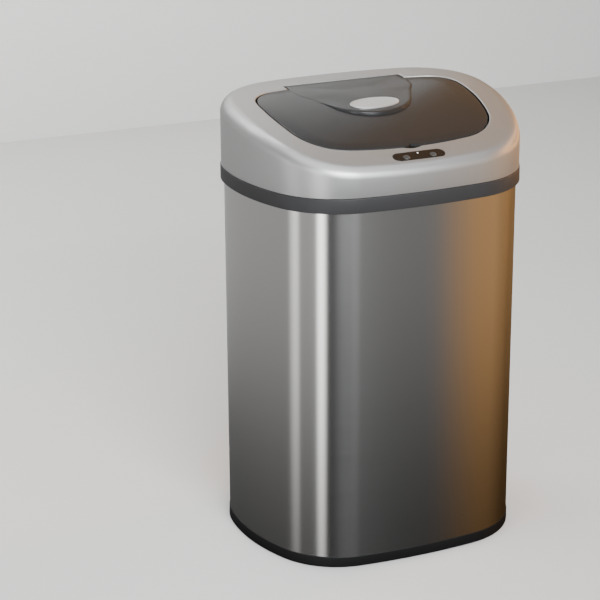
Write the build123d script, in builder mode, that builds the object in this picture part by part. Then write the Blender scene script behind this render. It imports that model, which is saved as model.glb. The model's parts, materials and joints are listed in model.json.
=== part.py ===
from build123d import *
import os
from math import acos, atan2, cos, degrees, hypot, pi, radians, sin, sqrt, tan

# Kitchen bin with a sensor-driven flap: steel body, bag ring, lift-off head and geared flap.
# Millimetres. +Z is up, the front faces -Y, and the origin is the centre of the footprint.
os.makedirs("parts", exist_ok=True)

# Head outline: bowed sides with rounded corners
WIDTH = 457.5
DEPTH = 364.5
FRONT_BOW = 910.0
BACK_BOW = 811.0
SIDE_BOW = 318.0
SIDE_Y = 25.0
FRONT_CORNER = 126.0
BACK_CORNER = 129.0

# Flap opening outline
OPEN_WIDTH = 351.0
OPEN_DEPTH = 243.5
OPEN_Y = -14.2
OPEN_FRONT_BOW = 614.0
OPEN_BACK_BOW = 727.0
OPEN_SIDE_BOW = 373.0
OPEN_SIDE_Y = 22.0
OPEN_FRONT_CORNER = 83.0
OPEN_BACK_CORNER = 50.5

# Body
BODY_INSET = 4.4
SHELL_WALL = 0.8
BASE_INSET = 3.3
BASE_TOP = 18.0
BASE_FLOOR = 3.0
UPSTAND = 30.0
UPSTAND_WALL = 2.0
FOOT_RADIUS = 13.0
FOOT_PROUD = 1.0
FOOT_X = 150.0
FOOT_Y = 95.0
GAP = 0.3

# Bag ring
BAND_BOTTOM = 579.0
BAND_TOP = 601.4
BAND_PROUD = 1.2
BAND_WALL = 2.5
RING_WEB = 2.4
RING_LEG = 31.0

# Head cover
CROWN_RADIUS = 922.0
CROWN_TOP = 707.9
CROWN_Y = 160.0
SHOULDER = 21.0
WALL = 2.5
COLLAR_DEPTH = 12.0
SLOT_HALF = 101.5
SLOT_BACK = 120.5
SCOOP_RADIUS = 31.8
SCOOP_DEPTH = 3.5

# Under frame
PLUG_DEPTH = 14.0
THROAT_INSET = 7.5
THROAT_DROP = 13.3
THROAT_BOTTOM = 592.0
THROAT_BACK = 84.0
EAR_WALL = 6.0
EAR_DEPTH = 16.0
BOSS_RADIUS = 4.0
SCREW_RADIUS = 1.5
SCREW_HEAD_RADIUS = 3.2
SCREW_HEAD = 2.0
SCREW_LENGTH = 14.0
BOSSES = [(95, -155), (-95, -155), (206, 20), (-206, 20), (180, 105), (-180, 105)]

# Flap
FLAP_GAP = 2.5
FLAP_SUNK = 0.5
FLAP_PLATE = 3.0
FLAP_RIM = 10.0
TAB_BACK = 117.5
LINER = 2.5
NOTCH_RADIUS = 6.5
HOOD_NOSE = 75.0
HOOD_NOSE_Y = 33.0
HOOD_SIDE = [(66.0, -2.5), (97.0, 62.0), (97.0, 110.0)]
HOOD_FRONT_POINT = (-44.0, 690.2)
HOOD_MIDDLE_POINT = (30.0, 702.0)
HOOD_BACK_POINT = (120.0, 706.2)
BADGE_LENGTH = 82.0
BADGE_WIDTH = 38.0
BADGE_Y = -6.0
BADGE_THICK = 1.4

# Hinge
HINGE_Y = 111.0
HINGE_Z = 699.0
BARREL_RADIUS = 5.0
BARREL_HALF = 97.0
SHAFT_RADIUS = 2.5
RUN_FIT = 0.06
BUSH_RADIUS = 3.6

# Gear train
MODULE = 0.8
PRESSURE = radians(25)
BACKLASH = 0.12
SECTOR_TEETH = 32
WHEEL_TEETH = 36
PINION_TEETH = 12
STAGE_X = 131.0
FACE = 5.0
FACE_STEP = 6.0
AXLE_RADIUS = 1.5
MESH_LIFT = 0.1
TURN_A = radians(-37)
TURN_MOTOR = radians(-37)
MOTOR_RADIUS = 12.0
MOTOR_LENGTH = 28.0
PLATE = 2.0

# Power pack
CELL_RADIUS = 16.6
CELL_LENGTH = 61.0
CELL_PITCH = 34.2
BOX_WALL = 2.0
BOX_HALF = 67.0
BOX_FRONT = 134.0
BOX_BACK = 171.0
DOOR_WIDTH = 126.0
DOOR_HEIGHT = 64.0
DOOR_GAP = 0.5

# Power switch
SWITCH_X = 112.0
SWITCH_Z = 640.0
SWITCH_WIDTH = 13.0
SWITCH_HEIGHT = 19.0
ROCKER_TILT = 8.0

# Sensor panel
PANEL_Y = -157.5
PANEL_LENGTH = 86.0
PANEL_WIDTH = 21.0
PANEL_THICK = 3.0
BUTTON_RADIUS = 5.2
BUTTON_X = 22.0
BUTTON_Y = -3.5
BUTTON_TRAVEL = 1.0
LAMP_RADIUS = 1.3
LAMP_Y = 5.0
EYE_X = 7.0
BOARD_DROP = 12.0
BOARD_THICK = 1.6
POST_X = 35.0

# Sizes that follow
COVER_BOTTOM = BAND_TOP + GAP
WEB_TOP = COVER_BOTTOM + WALL
SHELL_BOTTOM = FOOT_PROUD + BASE_FLOOR
SHELL_TOP = BAND_TOP - RING_WEB - GAP
LEG_INSET = BODY_INSET + SHELL_WALL + 3.0
ABOVE = CROWN_TOP + 20.0
DOOR_Z = WEB_TOP + BOX_WALL + CELL_PITCH
STAGE_REACH = MODULE * (WHEEL_TEETH + PINION_TEETH) / 2 + MESH_LIFT
LAST_REACH = MODULE * (SECTOR_TEETH + PINION_TEETH) / 2 + MESH_LIFT


def save(part, name):
    part.label = name
    export_step(part, f"parts/{name}.step")


def crown(y, drop=0.0):
    """Height at y of the surface that lies drop below the head's top surface."""
    return CROWN_TOP - CROWN_RADIUS + sqrt((CROWN_RADIUS - drop) ** 2 - (y - CROWN_Y) ** 2)


def circles_meet(centre_a, radius_a, centre_b, radius_b, towards):
    """Where two circles cross, on the front side (towards -1) or the back side (towards 1)."""
    dx, dy = centre_b[0] - centre_a[0], centre_b[1] - centre_a[1]
    apart = hypot(dx, dy)
    along = (radius_a**2 - radius_b**2 + apart**2) / (2 * apart)
    across = sqrt(radius_a**2 - along**2)
    x, y = centre_a[0] + dx * along / apart, centre_a[1] + dy * along / apart
    first = (x - dy * across / apart, y + dx * across / apart)
    second = (x + dy * across / apart, y - dx * across / apart)
    return max(first, second, key=lambda point: point[1] * towards)


def angle(centre, point):
    return degrees(atan2(point[1] - centre[1], point[0] - centre[0]))


def outline(size, bows, corners, middle_y, grow):
    """A face of eight tangent arcs, the same on the left and the right, grown by grow."""
    front = (0, middle_y - size[1] / 2 + bows[0])
    back = (0, middle_y + size[1] / 2 - bows[1])
    side = (size[0] / 2 - bows[2], bows[3])
    nose = circles_meet(front, bows[0] - corners[0], side, bows[2] - corners[0], -1)
    heel = circles_meet(back, bows[1] - corners[1], side, bows[2] - corners[1], 1)
    front_end, side_start = angle(front, nose), angle(side, nose)
    side_end, back_start = angle(side, heel), angle(back, heel)
    arcs = [
        (nose, corners[0] + grow, front_end, side_start - front_end),
        (side, bows[2] + grow, side_start, side_end - side_start),
        (heel, corners[1] + grow, side_end, back_start - side_end),
    ]
    with BuildSketch() as face:
        with BuildLine():
            CenterArc(front, bows[0] + grow, -180 - front_end, 2 * front_end + 180)
            for centre, radius, start, turn in arcs:
                CenterArc(centre, radius, start, turn)
                CenterArc((-centre[0], centre[1]), radius, 180 - start - turn, turn)
            CenterArc(back, bows[1] + grow, back_start, 180 - 2 * back_start)
        make_face()
    return face.sketch


def head_outline(grow=0.0):
    bows = (FRONT_BOW, BACK_BOW, SIDE_BOW, SIDE_Y)
    return outline((WIDTH, DEPTH), bows, (FRONT_CORNER, BACK_CORNER), 0.0, grow)


def open_outline(grow=0.0):
    bows = (OPEN_FRONT_BOW, OPEN_BACK_BOW, OPEN_SIDE_BOW, OPEN_SIDE_Y)
    return outline((OPEN_WIDTH, OPEN_DEPTH), bows, (OPEN_FRONT_CORNER, OPEN_BACK_CORNER), OPEN_Y, grow)


def head_ring(outer, inner):
    with BuildSketch() as ring:
        add(head_outline(outer))
        add(head_outline(inner), mode=Mode.SUBTRACT)
    return ring.sketch


def side_disc(drop):
    """The side view of everything under the surface that lies drop below the crown."""
    with BuildSketch(Plane.YZ) as disc:
        with Locations((CROWN_Y, CROWN_TOP - CROWN_RADIUS)):
            Circle(CROWN_RADIUS - drop)
    return disc.sketch


def prism(face, bottom, drop):
    """A plan face raised from bottom up to drop below the crown."""
    with BuildPart() as block:
        with BuildSketch(Plane.XY.offset(bottom)):
            add(face)
        extrude(amount=ABOVE - bottom)
        extrude(side_disc(drop), amount=WIDTH, both=True, mode=Mode.INTERSECT)
    return block.part


def layer(face, drop, floor_drop):
    """The part of a plan face's prism between two surfaces below the crown."""
    with BuildPart() as block:
        add(prism(face, COVER_BOTTOM, drop))
        extrude(side_disc(floor_drop), amount=WIDTH, both=True, mode=Mode.SUBTRACT)
    return block.part


def head_form(inset):
    """The head's outer form, set in by inset all round."""
    with BuildPart() as block:
        add(prism(head_outline(-inset), COVER_BOTTOM, inset))
        top_edges = block.edges().filter_by(lambda edge: edge.bounding_box().min.Z > COVER_BOTTOM + 1)
        fillet(top_edges, SHOULDER - inset)
    return block.part


# Rubber feet
with BuildPart() as rubber_feet:
    with BuildSketch():
        with GridLocations(2 * FOOT_X, 2 * FOOT_Y, 2, 2):
            Circle(FOOT_RADIUS)
    extrude(amount=2 * FOOT_PROUD)
save(rubber_feet.part, "rubber_feet")

# Base pan: the black foot ring that the steel tube stands in
with BuildPart() as base_pan:
    with BuildSketch(Plane.XY.offset(FOOT_PROUD)):
        add(head_outline(-BASE_INSET))
    extrude(amount=BASE_FLOOR)
    with BuildSketch(Plane.XY.offset(FOOT_PROUD)):
        add(head_ring(-BASE_INSET, -BODY_INSET))
    extrude(amount=BASE_TOP - FOOT_PROUD)
    with BuildSketch(Plane.XY.offset(FOOT_PROUD)):
        inner = -BODY_INSET - SHELL_WALL
        add(head_ring(inner, inner - UPSTAND_WALL))
    extrude(amount=UPSTAND - FOOT_PROUD)
    with BuildSketch(Plane.XY.offset(FOOT_PROUD)):
        with GridLocations(2 * FOOT_X, 2 * FOOT_Y, 2, 2):
            Circle(FOOT_RADIUS)
    extrude(amount=FOOT_PROUD, mode=Mode.SUBTRACT)
save(base_pan.part, "base_pan")

# Steel shell: the brushed tube
with BuildPart() as steel_shell:
    with BuildSketch(Plane.XY.offset(SHELL_BOTTOM)):
        add(head_ring(-BODY_INSET, -BODY_INSET - SHELL_WALL))
    extrude(amount=SHELL_TOP - SHELL_BOTTOM)
save(steel_shell.part, "steel_shell")

# Bag ring: the black band, which hooks over the tube and pins the bag
with BuildPart() as bag_ring:
    with BuildSketch(Plane.XY.offset(BAND_BOTTOM)):
        add(head_ring(BAND_PROUD, BAND_PROUD - BAND_WALL))
    extrude(amount=BAND_TOP - BAND_BOTTOM)
    with BuildSketch(Plane.XY.offset(BAND_TOP - RING_WEB)):
        add(head_ring(BAND_PROUD - BAND_WALL, -LEG_INSET - WALL))
    extrude(amount=RING_WEB)
    with BuildSketch(Plane.XY.offset(BAND_TOP - RING_LEG)):
        add(head_ring(-LEG_INSET, -LEG_INSET - WALL))
    extrude(amount=RING_LEG)
save(bag_ring.part, "bag_ring")

# Planes of the panels that are set into the cover
DOOR_PLANE = Plane(origin=(0, 0, DOOR_Z), x_dir=(-1, 0, 0), z_dir=(0, 1, 0))
switch_turn = atan2(SWITCH_X, sqrt(BACK_BOW**2 - SWITCH_X**2))
SWITCH_PLANE = Plane(
    origin=(-SWITCH_X, DEPTH / 2 - BACK_BOW * (1 - cos(switch_turn)), SWITCH_Z),
    x_dir=(-cos(switch_turn), -sin(switch_turn), 0),
    z_dir=(-sin(switch_turn), cos(switch_turn), 0),
)
panel_tilt = atan2(CROWN_Y - PANEL_Y, sqrt(CROWN_RADIUS**2 - (CROWN_Y - PANEL_Y) ** 2))
PANEL_PLANE = Plane(
    origin=(0, PANEL_Y, crown(PANEL_Y)),
    x_dir=(1, 0, 0),
    z_dir=(0, -sin(panel_tilt), cos(panel_tilt)),
)

open_front = OPEN_Y - OPEN_DEPTH / 2
scoop_centre = (0, open_front + SCOOP_RADIUS - SCOOP_DEPTH)


def opening(grow):
    """The hole for the flap with the finger scoop, grown by grow."""
    with BuildSketch() as face:
        add(open_outline(grow))
        with Locations(scoop_centre):
            Circle(SCOOP_RADIUS + grow)
    return face.sketch


with BuildSketch() as collar_plan:
    add(opening(WALL))
    add(opening(0.0), mode=Mode.SUBTRACT)
    with Locations((0, THROAT_BACK + WIDTH / 2)):
        Rectangle(WIDTH, WIDTH, mode=Mode.SUBTRACT)

with BuildSketch() as boss_plan:
    with Locations(*BOSSES):
        Circle(BOSS_RADIUS)

# Head cover: the silver shell with the flap's opening and its down-turned collar
with BuildPart() as head_cover:
    add(head_form(0.0))
    add(head_form(WALL), mode=Mode.SUBTRACT)
    add(layer(collar_plan.sketch, WALL / 2, COLLAR_DEPTH))
    with BuildSketch(Plane.XY.offset(WEB_TOP)):
        add(boss_plan.sketch)
    extrude(amount=ABOVE - WEB_TOP)
    add(head_form(0.0), mode=Mode.INTERSECT)
    with BuildSketch(Plane.XY.offset(WEB_TOP)):
        with Locations(*BOSSES):
            Circle(SCREW_RADIUS)
    extrude(amount=SCREW_LENGTH, mode=Mode.SUBTRACT)
    with BuildSketch(Plane.XY.offset(WEB_TOP)):
        add(opening(0.0))
        with Locations((0, SLOT_BACK / 2)):
            Rectangle(2 * SLOT_HALF, SLOT_BACK)
    extrude(amount=ABOVE - WEB_TOP, mode=Mode.SUBTRACT)
    with BuildSketch(PANEL_PLANE):
        SlotOverall(PANEL_LENGTH, PANEL_WIDTH)
    extrude(amount=2 * WALL, both=True, mode=Mode.SUBTRACT)
    with BuildSketch(DOOR_PLANE):
        Rectangle(DOOR_WIDTH, DOOR_HEIGHT)
    extrude(amount=DEPTH, mode=Mode.SUBTRACT)
    with BuildSketch(SWITCH_PLANE):
        Rectangle(SWITCH_WIDTH, SWITCH_HEIGHT)
    extrude(amount=2 * WALL, both=True, mode=Mode.SUBTRACT)
save(head_cover.part, "head_cover")

# Battery door: a piece of the cover's back wall
with BuildPart() as battery_door:
    add(head_form(0.0))
    add(head_form(WALL), mode=Mode.SUBTRACT)
    with BuildSketch(DOOR_PLANE):
        Rectangle(DOOR_WIDTH - 2 * DOOR_GAP, DOOR_HEIGHT - 2 * DOOR_GAP)
    extrude(amount=DEPTH, mode=Mode.INTERSECT)
    with BuildSketch(DOOR_PLANE.offset(DEPTH / 2)):
        with Locations((0, DOOR_HEIGHT / 2)):
            SlotOverall(DOOR_WIDTH / 4, 4 * WALL)
    extrude(amount=-WALL / 2, mode=Mode.SUBTRACT)
save(battery_door.part, "battery_door")

# Under frame: web, plug skirt, throat and the ears of the hinge
ear_x = SLOT_HALF + FLAP_GAP + EAR_WALL / 2
with BuildSketch() as throat_hole:
    add(open_outline(-THROAT_INSET - WALL))
    with Locations((0, THROAT_BACK + WIDTH / 2)):
        Rectangle(WIDTH, WIDTH, mode=Mode.SUBTRACT)
with BuildSketch() as throat_plan:
    add(open_outline(-THROAT_INSET))
    with Locations((0, THROAT_BACK + WALL + WIDTH / 2)):
        Rectangle(WIDTH, WIDTH, mode=Mode.SUBTRACT)
    add(throat_hole.sketch, mode=Mode.SUBTRACT)
with BuildPart() as under_frame:
    with BuildSketch(Plane.XY.offset(COVER_BOTTOM)):
        add(head_outline(-WALL - GAP))
        add(throat_hole.sketch, mode=Mode.SUBTRACT)
        with Locations(*BOSSES):
            Circle(SCREW_RADIUS + RUN_FIT, mode=Mode.SUBTRACT)
    extrude(amount=WALL - GAP)
    with BuildSketch(Plane.XY.offset(COVER_BOTTOM - PLUG_DEPTH)):
        add(head_ring(-LEG_INSET - 2 * WALL - GAP, -LEG_INSET - 3 * WALL))
    extrude(amount=PLUG_DEPTH)
    add(prism(throat_plan.sketch, THROAT_BOTTOM, THROAT_DROP))
    with BuildSketch(Plane.XY.offset(COVER_BOTTOM)):
        with Locations((ear_x, HINGE_Y), (-ear_x, HINGE_Y)):
            Rectangle(EAR_WALL, EAR_DEPTH)
    extrude(amount=HINGE_Z + BUSH_RADIUS + 2 * GAP - COVER_BOTTOM)
    with BuildSketch(Plane.YZ):
        with Locations((HINGE_Y, HINGE_Z)):
            Circle(BUSH_RADIUS)
    extrude(amount=WIDTH / 2, both=True, mode=Mode.SUBTRACT)
save(under_frame.part, "under_frame")

# Hinge bushes
with BuildPart() as hinge_bushes:
    with BuildSketch(Plane.YZ):
        with Locations((HINGE_Y, HINGE_Z)):
            Circle(BUSH_RADIUS)
            Circle(SHAFT_RADIUS + RUN_FIT, mode=Mode.SUBTRACT)
    extrude(amount=ear_x + EAR_WALL / 2, both=True)
    with BuildSketch(Plane.YZ):
        with Locations((HINGE_Y, HINGE_Z)):
            Circle(2 * BUSH_RADIUS)
    extrude(amount=ear_x - EAR_WALL / 2, both=True, mode=Mode.SUBTRACT)
save(hinge_bushes.part, "hinge_bushes")

# Head screws, driven from below
with BuildPart() as head_screws:
    with BuildSketch(Plane.XY.offset(COVER_BOTTOM - SCREW_HEAD)):
        with Locations(*BOSSES):
            Circle(SCREW_HEAD_RADIUS)
    extrude(amount=SCREW_HEAD)
    with BuildSketch(Plane.XY.offset(COVER_BOTTOM)):
        with Locations(*BOSSES):
            Circle(SCREW_RADIUS)
    extrude(amount=SCREW_LENGTH)
    with BuildSketch(Plane.XY.offset(COVER_BOTTOM - SCREW_HEAD)):
        with Locations(*BOSSES):
            Rectangle(SCREW_HEAD_RADIUS, SCREW_RADIUS / 2)
            Rectangle(SCREW_RADIUS / 2, SCREW_HEAD_RADIUS)
    extrude(amount=SCREW_HEAD / 2, mode=Mode.SUBTRACT)
save(head_screws.part, "head_screws")


def flap_outline(grow, back):
    """The flap's plan, grown by grow, with the hinge tab cut off at back."""
    with BuildSketch() as face:
        add(open_outline(grow - FLAP_GAP))
        with Locations((0, back / 2)):
            Rectangle(2 * (SLOT_HALF - FLAP_GAP + grow), back)
        with Locations((0, back + WIDTH / 2)):
            Rectangle(WIDTH, WIDTH, mode=Mode.SUBTRACT)
        with Locations((0, open_front)):
            Circle(NOTCH_RADIUS - grow, mode=Mode.SUBTRACT)
    return face.sketch


def hood_block(inset):
    """The raised hood's form, set in by inset."""
    with BuildPart() as block:
        with BuildSketch(Plane.XY.offset(COVER_BOTTOM)):
            with Locations((0, HOOD_NOSE_Y)):
                Circle(HOOD_NOSE - inset)
            with BuildLine():
                right = [(x - inset, y) for x, y in HOOD_SIDE]
                left = [(inset - x, y) for x, y in reversed(HOOD_SIDE)]
                Polyline(*right, *left, close=True)
            make_face()
        extrude(amount=ABOVE - COVER_BOTTOM)
        with BuildSketch(Plane.YZ):
            with BuildLine():
                top = ThreePointArc(
                    (HOOD_FRONT_POINT[0], HOOD_FRONT_POINT[1] - inset),
                    (HOOD_MIDDLE_POINT[0], HOOD_MIDDLE_POINT[1] - inset),
                    (HOOD_BACK_POINT[0], HOOD_BACK_POINT[1] - inset),
                )
                low = crown(HOOD_FRONT_POINT[0], FLAP_PLATE) - SHOULDER
                Polyline(top @ 1, (HOOD_BACK_POINT[0], low), (HOOD_FRONT_POINT[0], low), top @ 0)
            make_face()
        extrude(amount=WIDTH, both=True, mode=Mode.INTERSECT)
    return block.part


plate_floor = FLAP_SUNK + FLAP_PLATE
with BuildSketch() as rim_plan:
    add(flap_outline(-WALL / 2, THROAT_BACK))
    add(flap_outline(-3 * WALL / 2, THROAT_BACK - WALL), mode=Mode.SUBTRACT)

# Flap panel: the grey skin with its rim, raised hood and hinge barrel
with BuildPart() as flap_panel:
    add(layer(flap_outline(0.0, TAB_BACK), FLAP_SUNK, plate_floor))
    add(hood_block(0.0))
    add(hood_block(WALL), mode=Mode.SUBTRACT)
    extrude(side_disc(plate_floor), amount=WIDTH, both=True, mode=Mode.SUBTRACT)
    add(layer(rim_plan.sketch, FLAP_SUNK + WALL / 2, FLAP_RIM))
    with BuildSketch(Plane.YZ):
        with Locations((HINGE_Y, HINGE_Z)):
            Circle(BARREL_RADIUS)
    extrude(amount=BARREL_HALF, both=True)
    with BuildSketch(Plane.YZ):
        with Locations((HINGE_Y, HINGE_Z)):
            Circle(SHAFT_RADIUS)
    extrude(amount=BARREL_HALF, both=True, mode=Mode.SUBTRACT)
save(flap_panel.part, "flap_panel")

# Flap liner: the black tray that closes the flap from below
with BuildPart() as flap_liner:
    add(layer(flap_outline(-WALL / 2, THROAT_BACK), FLAP_RIM, FLAP_RIM + LINER))
save(flap_liner.part, "flap_liner")

# Badge: a blank oval plate on the hood
with BuildPart() as flap_badge:
    with BuildSketch(Plane.XY.offset(COVER_BOTTOM)):
        with Locations((0, BADGE_Y)):
            Ellipse(BADGE_LENGTH / 2, BADGE_WIDTH / 2)
    extrude(amount=ABOVE - COVER_BOTTOM)
    add(hood_block(-BADGE_THICK), mode=Mode.INTERSECT)
    add(hood_block(0.0), mode=Mode.SUBTRACT)
save(flap_badge.part, "flap_badge")

# Hinge shaft
sector_x = STAGE_X
with BuildPart() as hinge_shaft:
    with BuildSketch(Plane.YZ.offset(-ear_x - EAR_WALL)):
        with Locations((HINGE_Y, HINGE_Z)):
            Circle(SHAFT_RADIUS)
    extrude(amount=ear_x + EAR_WALL + STAGE_X + FACE + 1)
save(hinge_shaft.part, "hinge_shaft")


def gear_face(teeth, centre, tooth_at):
    """A gear's side view about centre, with the middle of one tooth at the angle tooth_at."""
    pitch = MODULE * teeth / 2
    base = pitch * cos(PRESSURE)
    tip = pitch + 0.8 * MODULE
    root = pitch - 1.05 * MODULE
    half = pi / 2 / teeth - BACKLASH / pitch / 2 + tan(PRESSURE) - PRESSURE
    steps = [max(root, base), (base + pitch) / 2, pitch, tip]
    flank = [(root, half)]
    for radius in steps:
        roll = acos(min(1.0, base / max(radius, base)))
        flank.append((max(radius, base), half - tan(roll) + roll))
    points = []
    for tooth in range(teeth):
        middle = tooth_at + 2 * pi * tooth / teeth
        for radius, turn in flank:
            points.append((radius, middle - turn))
        for radius, turn in reversed(flank):
            points.append((radius, middle + turn))
    places = []
    for radius, turn in points:
        place = (centre[0] + radius * cos(turn), centre[1] + radius * sin(turn))
        if not places or hypot(place[0] - places[-1][0], place[1] - places[-1][1]) > 0.01:
            places.append(place)
    with BuildSketch() as face:
        with BuildLine():
            Polyline(*places, close=True)
        make_face()
    return face.sketch


# Gear centres in the side view: below the shaft, then down and to the back
hinge_centre = (HINGE_Y, HINGE_Z)
centre_b = (HINGE_Y, HINGE_Z - LAST_REACH)
centre_a = (centre_b[0] + STAGE_REACH * cos(TURN_A), centre_b[1] + STAGE_REACH * sin(TURN_A))
centre_m = (centre_a[0] + STAGE_REACH * cos(TURN_MOTOR), centre_a[1] + STAGE_REACH * sin(TURN_MOTOR))

# Output sector on the hinge shaft
with BuildPart() as output_sector:
    with BuildSketch(Plane.YZ.offset(sector_x)):
        add(gear_face(SECTOR_TEETH, hinge_centre, -pi / 2))
        with BuildLine():
            far = 2 * MODULE * SECTOR_TEETH
            low = (HINGE_Y - far * sin(radians(10)), HINGE_Z - far * cos(radians(10)))
            high = (HINGE_Y + far * cos(radians(2)), HINGE_Z - far * sin(radians(2)))
            Polyline(hinge_centre, low, (HINGE_Y + far, HINGE_Z - far), high, hinge_centre)
        make_face(mode=Mode.INTERSECT)
        with Locations(hinge_centre):
            Circle(SHAFT_RADIUS + 2)
            Circle(SHAFT_RADIUS, mode=Mode.SUBTRACT)
    extrude(amount=FACE - 1)
save(output_sector.part, "output_sector")


def compound_gear(centre, pinion_tooth, wheel_tooth, x):
    """A pinion and the wheel beside it, moulded as one."""
    with BuildPart() as gear:
        with BuildSketch(Plane.YZ.offset(x)):
            add(gear_face(PINION_TEETH, centre, pinion_tooth))
        extrude(amount=FACE_STEP)
        with BuildSketch(Plane.YZ.offset(x + FACE_STEP)):
            add(gear_face(WHEEL_TEETH, centre, wheel_tooth))
        extrude(amount=FACE - 1)
        with BuildSketch(Plane.YZ.offset(x)):
            with Locations(centre):
                Circle(AXLE_RADIUS + RUN_FIT)
        extrude(amount=FACE_STEP + FACE, mode=Mode.SUBTRACT)
    return gear.part


# Reduction gears; each wheel shows a gap to the tooth that the next pinion points at it
with BuildPart() as reduction_gear_b:
    add(compound_gear(centre_b, pi / 2 + pi / PINION_TEETH, TURN_A + pi / WHEEL_TEETH, STAGE_X))
save(reduction_gear_b.part, "reduction_gear_b")

with BuildPart() as reduction_gear_a:
    wheel_gap = TURN_MOTOR + pi / WHEEL_TEETH
    add(compound_gear(centre_a, TURN_A + pi, wheel_gap, STAGE_X + FACE_STEP))
save(reduction_gear_a.part, "reduction_gear_a")

# Motor pinion with its shaft
plate_x = STAGE_X - PLATE - 1
with BuildPart() as motor_pinion:
    with BuildSketch(Plane.YZ.offset(STAGE_X + 2 * FACE_STEP)):
        add(gear_face(PINION_TEETH, centre_m, TURN_MOTOR + pi))
    extrude(amount=FACE - 1)
    with BuildSketch(Plane.YZ.offset(plate_x - PLATE)):
        with Locations(centre_m):
            Circle(AXLE_RADIUS)
    extrude(amount=STAGE_X + 2 * FACE_STEP + FACE - plate_x + PLATE)
save(motor_pinion.part, "motor_pinion")

# Gear axles, held in both plates
far_plate_x = STAGE_X + 3 * FACE_STEP
with BuildPart() as gear_axles:
    with BuildSketch(Plane.YZ.offset(plate_x)):
        with Locations(centre_b, centre_a):
            Circle(AXLE_RADIUS)
    extrude(amount=far_plate_x + PLATE - plate_x)
save(gear_axles.part, "gear_axles")

# Gearbox plates, standing on the web
spacers = [(HINGE_Y - 10, WEB_TOP + 40), (HINGE_Y + 38, WEB_TOP + 22)]
with BuildPart() as gearbox_plate:
    with BuildSketch(Plane.YZ.offset(plate_x)):
        with Locations((HINGE_Y + 12, (WEB_TOP + HINGE_Z + 1) / 2)):
            Rectangle(58, HINGE_Z - WEB_TOP + 1)
        with Locations(hinge_centre):
            Circle(SHAFT_RADIUS + 2 * GAP, mode=Mode.SUBTRACT)
            Rectangle(2 * SHAFT_RADIUS + 4 * GAP, 4 * SHAFT_RADIUS, mode=Mode.SUBTRACT)
        with Locations(centre_b, centre_a):
            Circle(AXLE_RADIUS, mode=Mode.SUBTRACT)
        with Locations(centre_m):
            Circle(AXLE_RADIUS + GAP, mode=Mode.SUBTRACT)
    extrude(amount=PLATE)
    with BuildSketch(Plane.YZ.offset(plate_x + PLATE)):
        with Locations(*spacers):
            Circle(BOSS_RADIUS)
    extrude(amount=far_plate_x - plate_x - PLATE)
    with BuildSketch(Plane.YZ.offset(plate_x + PLATE)):
        with Locations(*spacers):
            Circle(SCREW_RADIUS)
    extrude(amount=far_plate_x - plate_x - PLATE, mode=Mode.SUBTRACT)
save(gearbox_plate.part, "gearbox_plate")

with BuildPart() as gearbox_cover:
    with BuildSketch(Plane.YZ.offset(far_plate_x)):
        with Locations((HINGE_Y + 12, (WEB_TOP + centre_b[1] + 20) / 2)):
            Rectangle(58, centre_b[1] + 20 - WEB_TOP)
        with Locations(centre_b, centre_a):
            Circle(AXLE_RADIUS, mode=Mode.SUBTRACT)
        with Locations(*spacers):
            Circle(SCREW_RADIUS, mode=Mode.SUBTRACT)
    extrude(amount=PLATE)
save(gearbox_cover.part, "gearbox_cover")

with BuildPart() as gearbox_screws:
    with BuildSketch(Plane.YZ.offset(far_plate_x + PLATE)):
        with Locations(*spacers):
            Circle(SCREW_HEAD_RADIUS)
    extrude(amount=SCREW_HEAD)
    with BuildSketch(Plane.YZ.offset(far_plate_x + PLATE)):
        with Locations(*spacers):
            Circle(SCREW_RADIUS)
    extrude(amount=-SCREW_LENGTH)
save(gearbox_screws.part, "gearbox_screws")

# Motor
with BuildPart() as drive_motor:
    with BuildSketch(Plane.YZ.offset(plate_x)):
        with Locations(centre_m):
            Circle(MOTOR_RADIUS)
            Circle(AXLE_RADIUS + GAP, mode=Mode.SUBTRACT)
    extrude(amount=-MOTOR_LENGTH)
    with BuildSketch(Plane.YZ.offset(plate_x - MOTOR_LENGTH)):
        with Locations(centre_m):
            Circle(MOTOR_RADIUS / 3)
    extrude(amount=WALL)
save(drive_motor.part, "drive_motor")

# Battery box, open to the back
box_top = DOOR_Z + CELL_PITCH + BOX_WALL
with BuildPart() as battery_box:
    with Locations((0, (BOX_FRONT + BOX_BACK) / 2, WEB_TOP)):
        box_depth = BOX_BACK - BOX_FRONT
        Box(2 * BOX_HALF, box_depth, box_top - WEB_TOP, align=(Align.CENTER, Align.CENTER, Align.MIN))
    with Locations((0, (BOX_FRONT + BOX_BACK) / 2 + BOX_WALL, DOOR_Z)):
        Box(2 * (BOX_HALF - BOX_WALL), box_depth, 2 * CELL_PITCH, mode=Mode.SUBTRACT)
save(battery_box.part, "battery_box")

# Four D cells, two above two
cell_y = BOX_FRONT + BOX_WALL + CELL_PITCH / 2
cell_places = [(cell_y, DOOR_Z - CELL_PITCH / 2), (cell_y, DOOR_Z + CELL_PITCH / 2)]
with BuildPart() as batteries:
    for start in (-CELL_LENGTH - 1, 1):
        with BuildSketch(Plane.YZ.offset(start)):
            with Locations(*cell_places):
                Circle(CELL_RADIUS)
        extrude(amount=CELL_LENGTH - 1)
        with BuildSketch(Plane.YZ.offset(start)):
            with Locations(*cell_places):
                Circle(CELL_RADIUS / 3)
        extrude(amount=CELL_LENGTH)
save(batteries.part, "batteries")

# Contact plates at both ends of the box
with BuildPart() as battery_contacts:
    for side in (-1, 1):
        with Locations((side * (BOX_HALF - BOX_WALL - GAP), cell_y, DOOR_Z)):
            Box(2 * GAP, CELL_RADIUS, 2 * CELL_PITCH - 8)
save(battery_contacts.part, "battery_contacts")

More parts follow.
